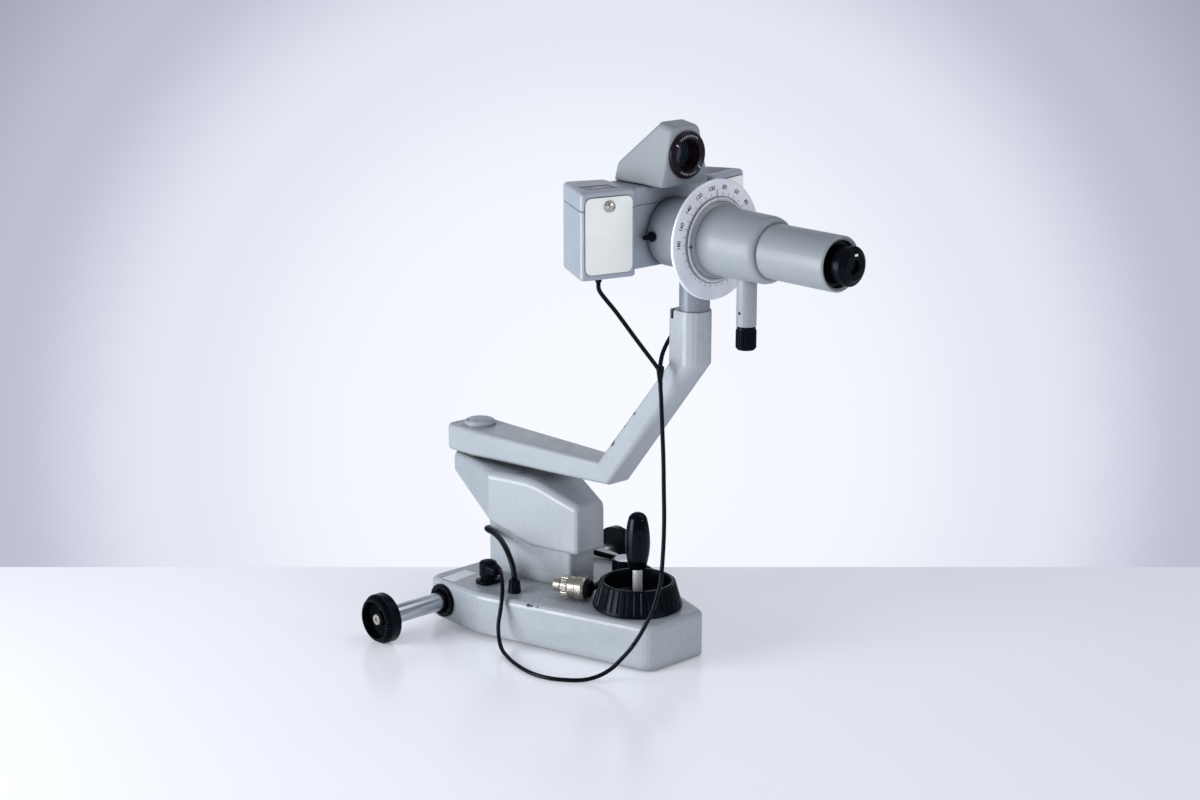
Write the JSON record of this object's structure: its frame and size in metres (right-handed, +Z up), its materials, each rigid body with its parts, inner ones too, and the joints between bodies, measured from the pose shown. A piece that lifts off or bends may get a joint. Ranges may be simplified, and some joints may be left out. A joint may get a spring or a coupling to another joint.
{
  "type": "keratometer",
  "caption": "Keratometer with a toed-in lamp-box head and telescope on a swinging cranked arm, over a cast base with a rolling cross axle, height ring and joystick.",
  "frame": {"origin": "underside of the glide foot, on the joystick axis", "axes": "-Y towards the operator along the telescope, +X to the operator's right, +Z up"},
  "size_m": [0.366, 0.58, 0.571],
  "materials": {
    "iron_paint": "smooth grey-green enamel on cast iron",
    "cast_paint": "smooth grey-green enamel on cast aluminium",
    "box_paint": "blue-grey enamel on cast aluminium",
    "plate_paint": "off-white enamel",
    "disc_white": "white-silver engraved",
    "black_plastic": "satin black moulding",
    "black_grip": "polished black",
    "black_metal": "black lacquer",
    "knob_grey": "light grey",
    "steel": "ground and polished",
    "chrome": "bright chrome",
    "nickel": "warm nickel",
    "bronze": "bearing bronze",
    "cord_rubber": "smooth black",
    "glass": "coated lens glass"
  },
  "bodies": {
    "base": {"base_casting": "iron_paint", "base_plate": "black_metal", "base_plate_screws": "steel", "glide_foot": "black_plastic", "axle_bushes": "black_plastic", "joystick_socket": "steel", "lower_column": "iron_paint", "guide_pillar": "steel", "drive_belt": "cord_rubber", "lamp_socket": "black_plastic", "cable_gland": "black_plastic", "lamp_plug": "black_plastic", "lamp_cord_trunk": "cord_rubber", "connector_cable": "cord_rubber", "connector_plug": "nickel"},
    "axle_sleeves": {"axle_sleeves": "bronze"},
    "axle": {"axle_shaft": "steel", "wheel_left": "black_plastic", "wheel_right": "black_plastic", "wheel_screws": "steel"},
    "pivot_ball": {"pivot_ball": "steel"},
    "joystick": {"joystick_rod": "chrome", "joystick_grip": "black_grip"},
    "height_ring": {"height_ring": "black_plastic", "ring_pulley": "bronze"},
    "spindle": {"lift_spindle": "steel", "spindle_pulley": "bronze"},
    "lock_knob": {"base_lock_knob": "black_plastic", "lock_knob_cap": "knob_grey"},
    "lift": {"lift_housing": "cast_paint", "lift_nut": "bronze", "guide_bush": "bronze", "pivot_pin": "steel"},
    "arm": {"swing_arm": "cast_paint", "arm_bush": "bronze", "pivot_cap": "cast_paint"},
    "post": {"head_post": "steel", "bearing_cylinder": "cast_paint", "degree_disc": "disc_white"},
    "clamp": {"rotation_clamp": "black_plastic"},
    "head": {"hub_tube": "steel", "bridge": "box_paint", "telescope_tube": "cast_paint", "small_tube": "cast_paint", "eyepiece_mount": "black_metal", "lamp_box_left": "box_paint", "lamp_box_right": "box_paint", "lid_left": "box_paint", "lid_right": "box_paint", "service_plates": "plate_paint", "lamps": "glass", "prism_housing": "cast_paint", "lenses": "glass", "lamp_cord_branches": "cord_rubber"},
    "eyepiece_sleeve": {"eyepiece_sleeve": "black_metal", "eye_lens": "glass"},
    "eyepiece_cap": {"eyepiece_cap": "black_plastic"},
    "measuring": {"measuring_knob": "black_plastic", "doubling_plate": "glass"},
    "reading_ring": {"reading_ring": "black_plastic"}
  },
  "joints": [
    {"name": "axle_roll", "type": "hinge", "parent": "base", "child": "axle_sleeves", "pos_m": [0, 0.2, 0.027], "axis": [1, 0, 0], "continuous": true},
    {"name": "axle_slide", "type": "slide", "parent": "axle_sleeves", "child": "axle", "axis": [1, 0, 0], "range_m": [-0.038, 0.068]},
    {"name": "joystick_sideways", "type": "hinge", "parent": "base", "child": "pivot_ball", "pos_m": [0, 0, 0.03], "axis": [0, 1, 0], "range_deg": [-12, 12]},
    {"name": "joystick_fore_aft", "type": "hinge", "parent": "pivot_ball", "child": "joystick", "pos_m": [0, 0, 0.03], "axis": [1, 0, 0], "range_deg": [-12, 12]},
    {"name": "column_lift", "type": "slide", "parent": "base", "child": "lift", "axis": [0, 0, 1], "range_m": [0, 0.028], "deforming": ["lamp_cord_branches", "lamp_cord_trunk"]},
    {"name": "height_ring_turn", "type": "hinge", "parent": "base", "child": "height_ring", "pos_m": [0, 0, 0.05], "axis": [0, 0, 1], "range_deg": [0, 1260]},
    {"name": "spindle_turn", "type": "hinge", "parent": "base", "child": "spindle", "pos_m": [0, 0.112, 0.05], "axis": [0, 0, 1], "range_deg": [0, 2520]},
    {"name": "base_lock_turn", "type": "hinge", "parent": "base", "child": "lock_knob", "pos_m": [0.045, 0.068, 0.05], "axis": [0, 0, 1], "range_deg": [0, 120]},
    {"name": "arm_swing", "type": "hinge", "parent": "lift", "child": "arm", "pos_m": [0, 0.259, 0.18], "axis": [0, 0, 1], "range_deg": [-25, 25], "deforming": ["lamp_cord_branches", "lamp_cord_trunk"]},
    {"name": "head_swivel", "type": "hinge", "parent": "arm", "child": "post", "pos_m": [0, -0.081, 0.4], "axis": [0, 0, 1], "range_deg": [-25, 25], "deforming": ["lamp_cord_branches", "lamp_cord_trunk"]},
    {"name": "head_rotation", "type": "hinge", "parent": "post", "child": "head", "pos_m": [0, -0.081, 0.46], "axis": [0, 1, 0], "range_deg": [-90, 90], "deforming": ["lamp_cord_branches", "lamp_cord_trunk"]},
    {"name": "rotation_clamp_turn", "type": "hinge", "parent": "post", "child": "clamp", "pos_m": [-0.04, -0.057, 0.46], "axis": [-1, 0, 0], "range_deg": [0, 90]},
    {"name": "eyepiece_focus", "type": "slide", "parent": "head", "child": "eyepiece_sleeve", "axis": [0, -1, 0], "range_m": [-0.003, 0.003]},
    {"name": "eyepiece_turn", "type": "hinge", "parent": "eyepiece_sleeve", "child": "eyepiece_cap", "pos_m": [0, -0.28, 0.46], "axis": [0, -1, 0], "range_deg": [-150.01, 150.01]},
    {"name": "measuring_turn", "type": "hinge", "parent": "head", "child": "measuring", "pos_m": [0, -0.153, 0.37], "axis": [0, 0, 1], "range_deg": [-60, 60]},
    {"name": "reading_ring_turn", "type": "hinge", "parent": "head", "child": "reading_ring", "pos_m": [0, -0.067, 0.539], "axis": [0, -1, 0], "range_deg": [0, 90]}
  ],
  "couplings": [
    {"joint": "height_ring_turn", "follows": "column_lift", "rad_per_m": 785.4},
    {"joint": "spindle_turn", "follows": "column_lift", "rad_per_m": 1570.8},
    {"joint": "eyepiece_turn", "follows": "eyepiece_focus", "rad_per_m": 872.66}
  ]
}
